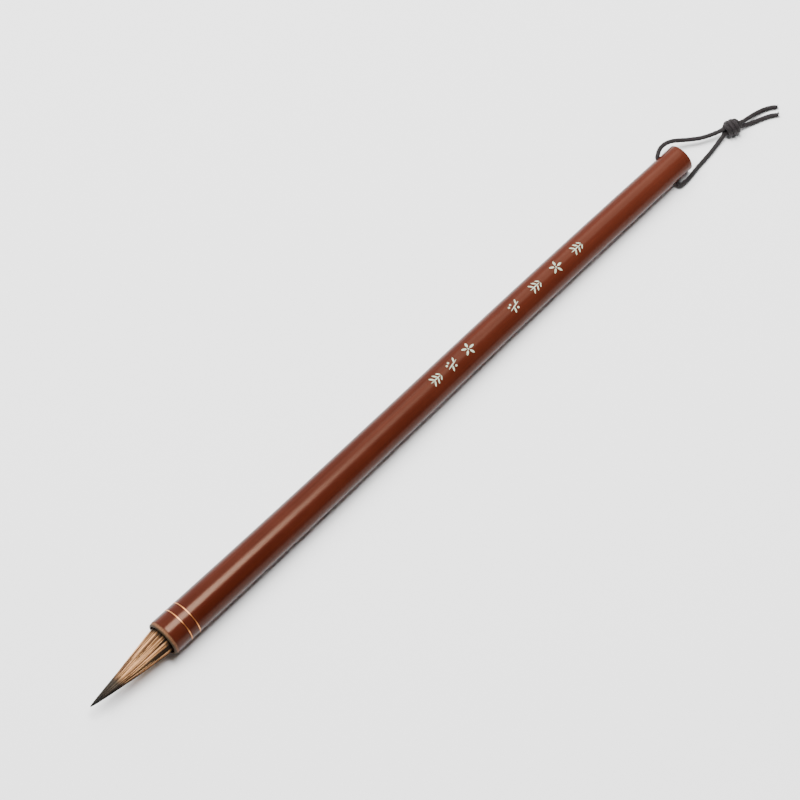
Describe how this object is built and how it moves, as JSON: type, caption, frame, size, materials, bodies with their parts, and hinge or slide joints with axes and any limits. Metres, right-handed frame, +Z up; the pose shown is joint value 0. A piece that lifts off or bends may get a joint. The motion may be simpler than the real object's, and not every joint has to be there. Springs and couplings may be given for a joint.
{
  "type": "calligraphy brush",
  "caption": "Small round-hair writing brush: tapered bamboo shaft, hair tuft in its socket, inlaid wire rings and a knotted cord loop through the tail.",
  "frame": {"origin": "on the surface the brush lies on, under the middle of the brush's length, halfway across it; the cord loop isn't counted", "axes": "+X from the hair's tip to the shaft's tail, +Z up from the surface, +Y across"},
  "size_m": [0.1794, 0.0109, 0.0073],
  "materials": {
    "bamboo": "red-brown lacquered bamboo, glossy, with fine lengthwise grain",
    "ring_metal": "thin polished copper-brass wire",
    "core_hair": "dark animal hair, drawn to a fine point",
    "mantle_hair": "pale brown animal hair with darker streaks",
    "thread": "undyed binding thread",
    "resin": "set rosin",
    "glue": "dried glue",
    "cord": "dark twisted cord, slightly fuzzy"
  },
  "bodies": {
    "handle": {"shaft": "bamboo", "front_ring": "ring_metal", "rear_ring": "ring_metal", "core_hair_root": "core_hair", "mantle_hair_root": "mantle_hair", "root_thread": "thread", "root_resin": "resin", "socket_glue": "glue"},
    "tuft": {"core_hair_tip": "core_hair", "mantle_hair_tip": "mantle_hair"},
    "loop": {"cord_in_hole": "cord", "cord_left": "cord", "cord_right": "cord", "knot": "cord", "cord_end_upper": "cord", "cord_end_lower": "cord"}
  },
  "joints": [
    {"name": "tuft_bend", "type": "hinge", "parent": "handle", "child": "tuft", "pos_m": [-0.06295, 0, 0.00363], "axis": [0, 1, 0], "range_deg": [-30, 30], "stiffness_Nm_per_rad": 0.0015},
    {"name": "loop_swing", "type": "hinge", "parent": "handle", "child": "loop", "pos_m": [0.0745, 0, 0.00287], "axis": [0.0023, 0.9135, 0.4067], "range_deg": [-135, 135]}
  ]
}
